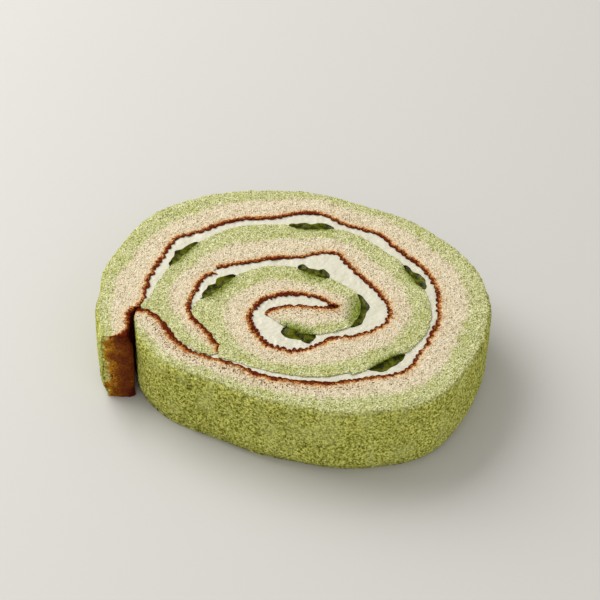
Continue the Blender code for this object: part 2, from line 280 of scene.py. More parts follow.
# Stretches where the skin is thicker and its beads are larger: middle and length
THICK_SKIN = (
    (-10.5, -8.0, 56.0),         # round the heart
    (-34.0, -11.0, 24.0),        # at the outer sheet's start
)

# Pieces of jelly: middle x and y on the green face they lie on, length along it, how far they
# stand out of it into the cream, how deep they are sunk in it, and how deep their juice has soaked
OUTER_JELLY = {
    "jelly_lower_right": (24.8, -23.2, 11.5, 1.3, 1.0, 1.3),
    "jelly_right": (32.2, 10.8, 11.5, 0.9, 1.2, 1.2),
    "jelly_top": (4.0, 30.4, 13.0, 1.9, 0.9, 0.9),
    "jelly_upper_left": (-31.0, 18.5, 12.5, 1.5, 0.8, 1.2),
}
INNER_JELLY = {
    "jelly_heart": (0.6, -13.0, 10.0, 2.2, 0.5, 2.3),
    "jelly_inner_right": (18.9, -3.5, 14.0, 0.3, 1.3, 4.2),
    "jelly_inner_top": (5.4, 12.0, 10.0, 1.6, 1.4, 1.9),
    "jelly_inner_left": (-20.9, 5.2, 13.5, 1.8, 0.9, 1.7),
}

# Stretches with brown specks: distance along the sheet to their middle, how far from it they are
# full and where they end, and the share of dots that are brown. The last is at the sheet's end
OUTER_SPECKS = ((34.0, 34.0, 52.0, 0.9),)
INNER_SPECKS = ((9.0, 6.0, 15.0, 0.6), (math.inf, 8.0, 16.0, 0.5))


@dataclass
class Sheet:
    """Cross-sections along a sheet of sponge, and how far outwards each of its sides lies there."""

    skin: np.ndarray  # points on the smooth skin line
    out: np.ndarray  # unit vectors outwards, across the sheet
    crest: np.ndarray  # distance out to the crests of the skin
    creased: np.ndarray  # to the creased skin
    border: np.ndarray  # to the border between white and green
    face: np.ndarray  # to the sheet's outer face
    reached: np.ndarray  # distance covered along the sheet
    browned: np.ndarray  # distance out to where the browned skin ends

    def line(self, distance):
        return self.skin + self.out * distance[:, None]


def walked(points):
    """Distance covered on reaching each point of a line."""
    steps = np.linalg.norm(np.diff(points, axis=0), axis=1)
    return np.concatenate([[0.0], np.cumsum(steps)])


def unit(vectors):
    return vectors / np.linalg.norm(vectors, axis=1, keepdims=True)


def spline(stations):
    """Natural cubic spline through the stations, in rows FINE apart.

    A span is the straight run between its stations plus a cubic term in the second derivative
    at each end, and those derivatives solve the equations that keep the slope unbroken.
    """
    rows = np.array(stations)
    knot = walked(rows[:, :2])
    span = np.diff(knot)
    equations = np.eye(len(rows))
    slope_change = np.zeros_like(rows)
    for i in range(1, len(rows) - 1):
        equations[i, i - 1:i + 2] = span[i - 1], 2 * (span[i - 1] + span[i]), span[i]
        slope_change[i] = (rows[i + 1] - rows[i]) / span[i] - (rows[i] - rows[i - 1]) / span[i - 1]
    bend = np.linalg.solve(equations, 6 * slope_change)
    at = np.linspace(0.0, knot[-1], round(knot[-1] / FINE) + 1)
    k = np.clip(np.searchsorted(knot, at, side="right") - 1, 0, len(span) - 1)
    width = span[k][:, None]
    left = (knot[k + 1] - at)[:, None] / width
    right = (at - knot[k])[:, None] / width
    straight = rows[k] * left + rows[k + 1] * right
    curved = bend[k] * (left ** 3 - left) + bend[k + 1] * (right ** 3 - right)
    return straight + curved * width ** 2 / 6


def evened(values, points, reach):
    """Running weighted mean of the values, over the given length of the line of points."""
    step = walked(points)[-1] / (len(points) - 1)
    half = max(1, round(reach / step))
    weights = np.hanning(2 * half + 3)[1:-1]
    padded = np.pad(values, ((half, half), (0, 0)), mode="edge")
    columns = [np.convolve(column, weights / weights.sum(), "valid") for column in padded.T]
    return np.stack(columns, axis=1)


def outward(points, reach):
    """Unit vectors to the right of the way along the line, with its direction evened out."""
    along = evened(np.gradient(points, axis=0), points, reach)
    return unit(np.stack([along[:, 1], -along[:, 0]], axis=1))


def lattice_noise(points, size, seed):
    """Smooth random values from -1 to 1, in blobs of about the given size in millimetres.

    Random numbers stand on a cubic lattice. A point blends the eight round it, with weights of
    3 t squared less 2 t cubed along each axis.
    """
    table = np.random.default_rng(seed).uniform(-1, 1, (64, 64, 64))
    scaled = points / size
    low = np.floor(scaled).astype(int)
    share = scaled - low
    share = share * share * (3 - 2 * share)
    value = np.zeros(points.shape[:-1])
    for corner in itertools.product((0, 1), repeat=3):
        weight = np.where(np.array(corner) == 1, share, 1 - share).prod(axis=-1)
        x, y, z = np.moveaxis((low + corner) % 64, -1, 0)
        value += weight * table[x, y, z]
    return value


def uneven(points, pattern, seed):
    """Smooth random depths from minus to plus the pattern's, in blobs of its size."""
    size, depth = pattern
    return depth * lattice_noise(points, size, seed)


def swell(points, pattern, seed):
    """The same from 0 to the pattern's depth."""
    size, depth = pattern
    return depth * (0.5 + 0.5 * lattice_noise(points, size, seed))


def along_line(line, pattern, seed):
    """The uneven depths at the points of a line in the plane."""
    return uneven(np.column_stack([line, np.zeros(len(line))]), pattern, seed)


def bubbles(points, size, seed):
    """How deep each point lies in a bubble of the crumb, from 0 at its wall to 1 in its middle.

    Each cell of a cubic lattice holds one round bubble with a random middle and radius. The
    deepest of the bubbles in the cell and in its neighbours counts.
    """
    chance = np.random.default_rng(seed)
    middles = chance.uniform(0.1, 0.9, (32, 32, 32, 3))
    radii = chance.uniform(0.22, 0.62, (32, 32, 32))
    scaled = points / size
    low = np.floor(scaled).astype(int)
    depth = np.zeros(points.shape[:-1])
    for neighbour in itertools.product((-1, 0, 1), repeat=3):
        cell = low + neighbour
        x, y, z = np.moveaxis(cell % 32, -1, 0)
        distance = np.linalg.norm(scaled - cell - middles[x, y, z], axis=-1)
        depth = np.maximum(depth, 1 - distance / radii[x, y, z])
    return depth


def smooth_step(value, low, high):
    """0 below low, 1 above high, and 3 t squared less 2 t cubed between them."""
    share = np.clip((value - low) / (high - low), 0, 1)
    return share * share * (3 - 2 * share)


def closing(to_end, rounding):
    """How far a side has closed in at a distance from the end, along a quarter of an ellipse.

    It is the rounding's depth times 1 less the root of 1 less u squared, with u from 0 to 1 over
    the rounding's length.
    """
    length, depth = rounding
    u = np.clip(1 - to_end / length, 0.0, 1.0)
    return depth * (1 - np.sqrt(1 - u ** 2))


def scallops(reached, widths, seed):
    """How deep the skin lies between its beads: 0 on the highest crests, 1 in the creases.

    The beads follow each other with random widths. The depth is v squared, with v from -1 to 1
    across a bead. Each bead stands lower than the highest by a random share.
    """
    chance = np.random.default_rng(seed)
    edges = np.cumsum(chance.uniform(*widths, round(reached[-1] / widths[0]) + 2))
    bead = np.searchsorted(edges, reached)
    starts = np.concatenate([[0.0], edges])
    v = np.clip(2 * (reached - starts[bead]) / (starts[bead + 1] - starts[bead]) - 1, -1, 1)
    lower = chance.uniform(0, LOWER_BEADS, len(starts))[bead]
    return lower + (1 - lower) * v ** 2


def rolled_sheet(stations, reach, spacing, beads, thinned, seed):
    """Sections of one sheet, evenly spaced along its middle.

    The depth of the skin's beads goes with a half plus half the sideways part of the way out, so
    they stand out furthest where the sheet runs up and down the slice's depth. In a thick stretch
    they stand out too. The browned skin's inner edge follows a share of their relief.
    """
    fine = spline(stations)
    out = outward(fine[:, :2], reach)
    middle = fine[:, :2] + out * fine[:, 2:].sum(axis=1, keepdims=True) / 2
    reached = walked(middle)
    even = np.linspace(0, reached[-1], round(reached[-1] / spacing) + 1)
    columns = np.hstack([fine, out]).T
    rows = np.stack([np.interp(even, reached, column) for column in columns], axis=1)
    skin, border, out = rows[:, :2], rows[:, 2], unit(rows[:, 4:])
    thin = np.zeros(len(skin))
    for x, y, length in thinned:
        thin = np.maximum(thin, lens(skin, (x, y), length))
    thick = np.maximum(*(near_place(skin, stretch) for stretch in THICK_SKIN))
    crest = -SKIN * (1 - thin)
    widths, depth = beads
    depth = depth * (0.5 + 0.5 * np.maximum(np.abs(out[:, 0]), THICK_BEADS * thick))
    creased = crest + depth * scallops(even, widths, seed) + along_line(skin, SKIN_RAGGED, seed)
    browned = BEADS_FOLLOWED * creased + BROWNED + BROWNED_THICK * thick - BROWNED_THIN * thin
    for number, pattern in enumerate(BROWNED_RAGGED, start=1):
        browned += along_line(skin, pattern, seed + number)
    creased = np.minimum(creased, border - THINNEST)
    return Sheet(skin, out, crest, creased, border, border + rows[:, 3], even, browned)


def tear(sheet):
    """Tears the skin at one place, where it steps back before and juts out after.

    Both fall off as e to the minus distance over their fade. The browned skin is taken back by e
    to the minus fourth power of the distance from the bare crumb's middle over half its length.
    """
    x, y, back, flap = TORN_SKIN
    past = sheet.reached - sheet.reached[nearest(sheet.skin, (x, y))]
    step = np.where(past < 0, back, -flap) * np.exp(-np.abs(past) / TORN_FADE)
    sheet.creased += step
    sheet.browned += step - BARED * np.exp(-((past + TORN_BARE) / TORN_BARE) ** 4)


def rounded_end(sheet):
    """Closes in both sides of the sheet towards its last section, and browns more of it there."""
    reached = walked(sheet.skin)
    to_end = reached[-1] - reached
    length, more = LAP_BROWNED
    sheet.creased += closing(to_end, LAP_SKIN_ROUNDING)
    sheet.browned += closing(to_end, LAP_SKIN_ROUNDING) + more * smooth_step(-to_end, -length, 0.0)
    sheet.face -= closing(to_end, LAP_FACE_ROUNDING)


def nearest(points, place):
    return int(np.argmin(np.linalg.norm(points - np.array(place), axis=1)))


def lens(points, place, length):
    """1 at the point nearest the place, falling to 0 along half an ellipse of that length."""
    reached = walked(points)
    u = (reached - reached[nearest(points, place)]) / (length / 2)
    return np.sqrt(np.clip(1 - u ** 2, 0, None))


def near_place(points, stretch):
    """1 in the middle of a stretch of the line, 0 past its ends. The line passes it once."""
    x, y, length = stretch
    middle = nearest(points, (x, y))
    if np.linalg.norm(points[middle] - (x, y)) > NEAR:
        return np.zeros(len(points))
    return lens(points, (x, y), length)


def cross(p, q):
    return p[..., 0] * q[..., 1] - p[..., 1] * q[..., 0]


def room(starts, headings, wall, behind=0.0, own=None):
    """Distance from each start, along its heading, to where it first meets the wall.

    A heading meets the stretch from a to b where start + t heading = a + u (b - a) with u between
    0 and 1. The least t counts that is not further behind the start than the given distance. A
    start passes by the stretches within OWN_SIDE of its own number, where one is given. The
    number of the stretch that is met comes with the distance.
    """
    edge = np.diff(wall, axis=0)[None]
    offset = wall[None, :-1] - starts[:, None]
    facing = cross(headings[:, None], edge)
    facing[facing == 0] = 1e-9
    distance = cross(offset, edge) / facing
    share = cross(offset, headings[:, None]) / facing
    meets = (share >= 0) & (share <= 1) & (distance > -behind)
    if own is not None:
        meets &= np.abs(np.arange(len(wall) - 1)[None] - own[:, None]) > OWN_SIDE
    distance = np.where(meets, distance, np.inf)
    return distance.min(axis=1), distance.argmin(axis=1)


def bare_share(sheet, ends):
    """1 along a sheet's skin where it carries no cream, falling to 0 where the cream runs thin."""
    reached = walked(sheet.skin)
    share = np.zeros_like(reached)
    for (x, y, thin), away in zip(ends, (1, -1)):
        past = away * (reached[nearest(sheet.skin, (x, y))] - reached)
        share = np.maximum(share, np.where(past > 0, 1.0, 1 + past / max(thin, FINE)))
    return np.clip(share, 0.0, 1.0)


def pressed(inner, outer):
    """Lays the inner sheet's face against the skin round it where that skin carries no cream.

    Where the cream runs thin the face goes a share of the way, and the cream keeps its room.
    """
    skin = inner.face + PRESSED_MOST
    share = np.zeros_like(skin)
    smeared = np.zeros_like(skin)
    for sheet, ends, smear in ((outer, OUTER_CREAM_ENDS, OUTER_SMEAR_ENDS),
                               (inner, INNER_CREAM_ENDS, INNER_SMEAR_ENDS)):
        distance, met = room(inner.line(inner.border), inner.out, sheet.line(sheet.creased))
        closer = inner.border + distance < skin
        skin[closer] = (inner.border + distance)[closer]
        share[closer] = bare_share(sheet, ends)[met][closer]
        first, last = (nearest(sheet.skin, end) for end in smear)
        smeared[closer] = ((met >= first) & (met <= last))[closer]
    part_way = inner.face + share * (skin - inner.face)
    laid = np.minimum(part_way, skin - THIN_CREAM * smeared)
    laid = evened(laid[:, None], inner.skin, EVENED_FACE)[:, 0]
    inner.face = np.maximum(laid, inner.border + THINNEST)


@dataclass
class Ring:
    """Places round a cross-section, over the top, down the outer wall and back below."""

    share: np.ndarray  # share of the way across
    inset: np.ndarray  # how far the outer wall is drawn in at that height
    height: np.ndarray
    across: np.ndarray  # the two parts of the normal, across
    up: np.ndarray  # and up
    wall: np.ndarray  # 1 on the outer wall between its edges
    back: np.ndarray  # 1 on the inner wall between its edges
    corners: list  # numbers of the places where two sides meet at a sharp edge


def spread(low, high, count):
    """Heights down a wall, closer together near both ends, without the ends themselves."""
    even = np.linspace(0, 1, count)
    share = 0.45 * (1 - np.cos(even * math.pi)) / 2 + 0.55 * even
    return (high - share * (high - low))[1:-1]


def ring(columns, rows, back_rows, low, high, top, base):
    """Places round a band's cross-section.

    The outer wall is drawn in along a quarter of an ellipse at the top, and at the base by its
    depth times t cubed, with t from 0 to 1 over its height.
    """
    across = np.linspace(0, 1, columns)
    below = np.linspace(1, 0, BELOW_PLACES)
    wall_z = spread(low, high, rows)
    back_z = spread(low, high, back_rows)[::-1]
    share = np.concatenate([across, np.ones(len(wall_z)), below, np.zeros(len(back_z))])
    height = np.concatenate([np.full(columns, high), wall_z, np.full(len(below), low), back_z])
    over = np.clip((height - high + top[1]) / top[1], 0, 1)
    under = np.clip((low + base[1] - height) / base[1], 0, 1)
    inset = top[0] * (1 - np.sqrt(1 - over ** 2)) + base[0] * under ** 3
    slope = top[0] / top[1] * over / np.sqrt(np.maximum(1 - over ** 2, 0.01))
    slope -= 3 * base[0] / base[1] * under ** 2
    number = np.arange(len(share))
    wall_end = columns + len(wall_z)
    wall = (number >= columns) & (number < wall_end)
    back = number >= wall_end + len(below)
    steep = np.sqrt(1 + slope ** 2)
    upper_edge = (top[0] > 0) & (number == columns - 1)
    lower_edge = (base[0] > 0) & (number == wall_end)
    rounded = wall | upper_edge | lower_edge
    normal_across = np.where(rounded, 1 / steep, np.where(back, -1.0, 0.0))
    flat_up = np.where(back, 0.0, np.sign(height - (low + high) / 2))
    normal_up = np.where(rounded, slope / steep, flat_up)
    corners = [0, wall_end + len(below) - 1]
    if top[0] == 0:
        corners += [columns - 1, wall_end]
    return Ring(share, inset, height, normal_across, normal_up, wall * 1.0, back * 1.0, corners)


@dataclass
class Loft:
    """A closed band's grid: a row for each section or cap ring, a column for each place."""

    points: np.ndarray
    normals: np.ndarray
    distance: np.ndarray  # of each point from the inner line
    section: np.ndarray  # number of each row's section


def lofted(inner, outer, places):
    """A band between two lines, closed at each end by rings that shrink towards its middle.

    A cap ring is its end's ring drawn in on all four sides by the same distance.
    """
    count = len(inner)
    closing_in = np.linspace(CAP_CLOSED, 0, CAP_RINGS, endpoint=False)
    shrink = np.concatenate([closing_in, np.zeros(count), closing_in[::-1]])[:, None]
    section = np.clip(np.arange(len(shrink)) - CAP_RINGS, 0, count - 1)
    across = (outer - inner)[section]
    width = np.linalg.norm(across, axis=1, keepdims=True)
    heading = (across / width)[:, None]
    drawn_in = shrink * width
    distance = places.share * (width - np.minimum(places.inset, INSET_MOST * width))
    distance = drawn_in + distance * (1 - 2 * shrink)
    low, high = places.height.min(), places.height.max()
    middle = (low + high) / 2
    height = middle + (places.height - middle) * (1 - 2 * drawn_in / (high - low))
    flat = inner[section][:, None] + heading * distance[..., None]
    points = np.concatenate([flat, height[..., None]], axis=-1)
    sideways = heading * places.across[:, None]
    up = np.broadcast_to(places.up, distance.shape)
    normals = np.concatenate([sideways, up[..., None]], axis=-1)
    along = unit(np.gradient((inner + outer) / 2, axis=0))
    normals[:CAP_RINGS] = (-along[0, 0], -along[0, 1], 0.0)
    normals[-CAP_RINGS:] = (along[-1, 0], along[-1, 1], 0.0)
    return Loft(points, normals, distance, section)


def in_scene(name, data):
    """A new object for a mesh, camera or light."""
    made = bpy.data.objects.new(name, data)
    bpy.context.scene.collection.objects.link(made)
    return made


def closed_piece(name, points, attributes, material, corners=()):
    """A closed mesh from a grid of points that is joined round its columns and shut at both ends.

    If the volume that its triangles sweep from the origin is negative, its faces are turned. The
    edges that run along the corner columns are sharp.
    """
    rows, columns = points.shape[:2]
    number = np.arange(rows * columns).reshape(rows, columns)
    onward = np.roll(number, -1, axis=1)
    quads = np.stack([number[:-1], onward[:-1], onward[1:], number[1:]], axis=-1).reshape(-1, 4)
    flat = points.reshape(-1, 3)
    a, b, c, d = (flat[quads[:, k]] for k in range(4))
    volume = (np.cross(b - a, c - a) * a).sum() + (np.cross(c - a, d - a) * a).sum()
    first, last = number[0][::-1], number[-1]
    if volume < 0:
        quads, first, last = quads[:, ::-1], first[::-1], last[::-1]
    mesh = bpy.data.meshes.new(name)
    faces = quads.tolist() + [first.tolist(), last.tolist()]
    mesh.from_pydata(((flat + EYE) * MM).tolist(), [], faces)
    mesh.shade_smooth()
    ends = np.zeros(len(mesh.edges) * 2, dtype=np.int32)
    mesh.edges.foreach_get("vertices", ends)
    ends = ends.reshape(-1, 2) % columns
    sharp = (ends[:, 0] == ends[:, 1]) & np.isin(ends[:, 0], list(corners))
    mesh.attributes.new("sharp_edge", "BOOLEAN", "EDGE").data.foreach_set("value", sharp)
    for title, values in attributes.items():
        layer = mesh.attributes.new(title, "FLOAT", "POINT")
        values = np.broadcast_to(values, (rows, columns)).ravel()
        layer.data.foreach_set("value", values.astype(np.float32))
    mesh.materials.append(material)
    return in_scene(name, mesh)


def stands_for(piece, node):
    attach(piece, "root")
    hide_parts(node)


def crumb_relief(points):
    """How deep the open crumb is cut at each point: two sizes of bubbles and a swell."""
    (small, depth), (large, large_depth) = SMALL_BUBBLES, LARGE_BUBBLES
    relief = depth * bubbles(points, small, 1) + large_depth * bubbles(points, large, 2) ** 1.5
    return relief + swell(points, CRUMB_SWELL, 4)


def torn_relief(points):
    """Extra depth of the side: tears and streaks that run up and down it, over a swell.

    Round the torn place they are deeper by e to the minus square of the distance over its reach.
    """
    x, y, reach, deeper = TORN_SIDE
    size, depth = SIDE_STREAKS
    streak = lattice_noise(points * (1, 1, STREAK_STRETCH), size, 6)
    away = np.linalg.norm(points[..., :2] - (x, y), axis=-1)
    depth = depth + deeper * np.exp(-(away / reach) ** 2)
    return depth * smooth_step(streak, 0.0, 0.8) + swell(points, SIDE_SWELL, 7) + SIDE_SUNK


def soaked(sheet, distance, section, jellies):
    """How far juice has soaked each point: 1 at the face under a piece of jelly, falling inwards.

    It falls as e to the minus square of the depth over the juice's reach, and along the sheet
    as the jelly's lens does.
    """
    face = sheet.line(sheet.face)
    wet = np.zeros(distance.shape)
    for x, y, length, _, _, reach in jellies.values():
        depth = sheet.face[section][:, None] - distance
        beside = lens(face, (x, y), length * SOAKED_LENGTH)[section][:, None]
        wet = np.maximum(wet, beside * np.exp(-(depth / reach) ** 2))
    return wet


def speckled(sheet, stretches):
    """Share of dots that are brown along a sheet, full near a stretch's middle, 0 past its ends."""
    share = np.zeros_like(sheet.reached)
    for middle, full, end, most in stretches:
        away = np.abs(sheet.reached - min(middle, sheet.reached[-1]))
        share += most * smooth_step(-away, -end, -full)
    return share


def crust_mark(sheet, rows, places, from_skin, to_end, is_white):
    """Distance past the lapping end's outer corner, with a minus on the end itself.

    The sheet's start is marked like that too, and the crease by IN_CREASE. The cut faces show
    the crumb, so they have NO_CRUST.
    """
    on_end = (to_end == 0) * np.ones_like(places.wall)
    past_corner = np.where(on_end > 0, from_skin - sheet.face[rows][:, None], to_end)
    past_corner = np.minimum(past_corner, sheet.reached[rows][:, None] - START_CRUST)
    in_crease = is_white * places.back * (to_end < LAP_SKIN_ROUNDING[0])
    past_corner = np.where(in_crease > 0, IN_CREASE, past_corner)
    uncut = np.maximum(places.wall, on_end) + in_crease
    return np.where(uncut > 0, past_corner, NO_CRUST)


def crust_bulge(below, to_end):
    """How far the crust bulges into the crease.

    It grows with depth below the cut face, and falls as e to the minus square of the distance
    from the lapping end over its length.
    """
    return LAP_BULGE * smooth_step(below, *LAP_BULGE_DEPTHS) * np.exp(-(to_end / LAP_BULGE_LENGTH) ** 2)


def sponge_layer(name, node, sheet, is_white, counts, edges, jellies, specks=(), is_outer=False):
    """One layer of a sheet with its crumb cut into it: the white or the green one.

    The wall that the two layers share is hidden, so it stays smooth. The outer sheet's green
    face is the cake's side, and that sheet's last end laps over with a crust.
    """
    places = ring(*counts, 0.0, HEIGHT, *edges)
    near, far = (sheet.creased, sheet.border) if is_white else (sheet.border, sheet.face)
    loft = lofted(sheet.line(near), sheet.line(far), places)
    rows = loft.section
    width = (far - near)[rows][:, None]
    below = HEIGHT - loft.points[..., 2]
    from_skin = loft.distance + near[rows][:, None]
    from_far = width - loft.distance
    to_end = (sheet.reached[-1] - sheet.reached)[rows][:, None]
    side = float(is_outer and not is_white)

    crumb = crumb_relief(loft.points)
    on_rim = np.exp(-(np.hypot(below, from_far) / RIM_REACH) ** 2)
    relief = crumb + side * places.wall * torn_relief(loft.points)
    relief += side * swell(loft.points, RIM_CRUMBS, 9) * on_rim
    hidden = places.wall if is_white else places.back
    points = loft.points - loft.normals * (relief * (1 - hidden))[..., None]
    if is_outer and is_white:
        bulge = crust_bulge(below, to_end) * from_far / width
        points[..., :2] -= sheet.out[rows][:, None] * bulge[..., None]

    on_end = (to_end == 0) * np.ones_like(places.wall)
    # The side's own darker tone, which runs onto the cut face's rim as painted shade
    side_tone_and_rim_shade = smooth_step(below - from_far, *SIDE_TONE_AND_RIM_SHADE)
    pale = lattice_noise(loft.points * (1, 1, PALE_STRETCH), PALE_STREAKS, 8)
    crust = crust_mark(sheet, rows, places, from_skin, to_end, is_white) if is_outer else NO_CRUST
    marks = {
        "border": from_skin - sheet.border[rows][:, None],
        "baked": from_skin - sheet.browned[rows][:, None],
        # painted shade deep in the relief's bubbles
        "pit_shade": np.clip(crumb / PIT_SHADE_DEPTH, 0, 1),
        "side": side * np.maximum(side_tone_and_rim_shade, on_end),
        "pale": smooth_step(pale, 0.0, 0.8),
        "crust": crust,
        "from_crease": from_skin - sheet.creased[rows][:, None] - to_end,
        "soaked": soaked(sheet, from_skin, rows, jellies),
        "specks": speckled(sheet, specks)[rows][:, None] * np.clip(1 - from_skin / SPECK_DEPTH, 0, 1),
    }
    piece = closed_piece(name, points, marks, SPONGE, places.corners)
    stands_for(piece, node)


def filling(name, node, sheet, ends, wall, own, jellies):
    """The cream between a sheet's skin and the sponge inside it, with the jelly set into it.

    At each section the cream spans what is left between the skin's crests and the wall inside
    them, and laps into both. A piece of jelly is a lens on that wall, and the cream is thinner
    there by as much.
    """
    first, last = (nearest(sheet.skin, end) for end in ends)
    part = slice(first, last + 1)
    crest = sheet.line(sheet.crest)[part]
    inward = -unit(evened(sheet.out[part], crest, CREAM_REACH))
    own = None if own is None else own[part]
    free = room(crest, inward, wall, CREAM_BEHIND, own)[0]
    free = np.clip(free, -CREAM_BEHIND, CREAM_WIDEST)
    far = crest + inward * free[:, None]
    taken = np.zeros_like(free)
    for title, (x, y, length, proud, sunk, _) in jellies.items():
        lumps = JELLY_FULLNESS + along_line(far, JELLY_LUMPS, 31)
        bulge = (proud + sunk) * lens(far, (x, y), length) * lumps
        inside = bulge > 0
        bulge = np.clip(bulge[inside], JELLY_LEAST, free[inside] - JELLY_SPARED)
        taken[inside] = bulge
        start = far[inside] + inward[inside] * JELLY_OFF
        jelly_piece(title, start, far[inside] - inward[inside] * bulge[:, None])
    near = sheet.line(sheet.creased + CREAM_LAP)[part]
    edge = crest + inward * (free - taken + CREAM_LAP)[:, None]
    places = ring(*CREAM_PLACES, CREAM_RECESS, HEIGHT - CREAM_RECESS, *SQUARE_EDGES)
    loft = lofted(edge, near, places)
    wave = CREAM_WAVES[1] - swell(loft.points, CREAM_WAVES, 11)
    wave += uneven(loft.points, CREAM_RIPPLES, 12)
    cut = 1 - places.wall - places.back
    points = loft.points - loft.normals * (wave * cut)[..., None]
    piece = closed_piece(name, points, {}, CREAM, places.corners)
    stands_for(piece, node)


def jelly_piece(node, near, far):
    """A piece of jelly between two lines, its cut faces sagging as half a sine across it."""
    places = ring(*JELLY_PLACES, JELLY_RECESS, HEIGHT - JELLY_RECESS, *JELLY_EDGES)
    loft = lofted(near, far, places)
    dip = JELLY_SAG * np.sin(math.pi * places.share) + uneven(loft.points, JELLY_DIMPLES, 21)
    cut = 1 - places.wall - places.back
    points = loft.points - loft.normals * (dip * cut)[..., None]
    piece = closed_piece(node + "_cut", points, {}, JELLY)
    stands_for(piece, node)


def colour(code):
    """Linear light for an sRGB hex colour, with an alpha of 1."""
    channels = [int(code[k:k + 2], 16) / 255 for k in (1, 3, 5)]
    return (*(c / 12.92 if c <= 0.04045 else ((c + 0.055) / 1.055) ** 2.4 for c in channels), 1.0)


def fill(tree, node, inputs):
    """Gives a node's inputs a value each, or a link from another node's output."""
    for key, value in inputs.items():
        if isinstance(value, bpy.types.NodeSocket):
            tree.links.new(value, node.inputs[key])
        else:
            node.inputs[key].default_value = value


def add(tree, kind, inputs=None, **settings):
    """Adds a shader node with its settings and inputs, and gives back its outputs."""
    made = tree.nodes.new("ShaderNode" + kind)
    for title, value in settings.items():
        setattr(made, title, value)
    fill(tree, made, inputs or {})
    return made.outputs


def strayed(tree, value, source, spread):
    """The value, moved by up to half the spread either way as the source goes from 0 to 1."""
    stray = add(tree, "Math", {0: source, 1: spread, 2: -spread / 2}, operation="MULTIPLY_ADD")[0]
    return add(tree, "Math", {0: value, 1: stray}, operation="ADD")[0]


def new_material(name):
    """An empty material's node tree, its surface shader and the place that its patterns read."""
    material = bpy.data.materials.new(name)
    material.use_nodes = True
    tree = material.node_tree
    return material, tree, tree.nodes["Principled BSDF"], add(tree, "TexCoord")["Object"]


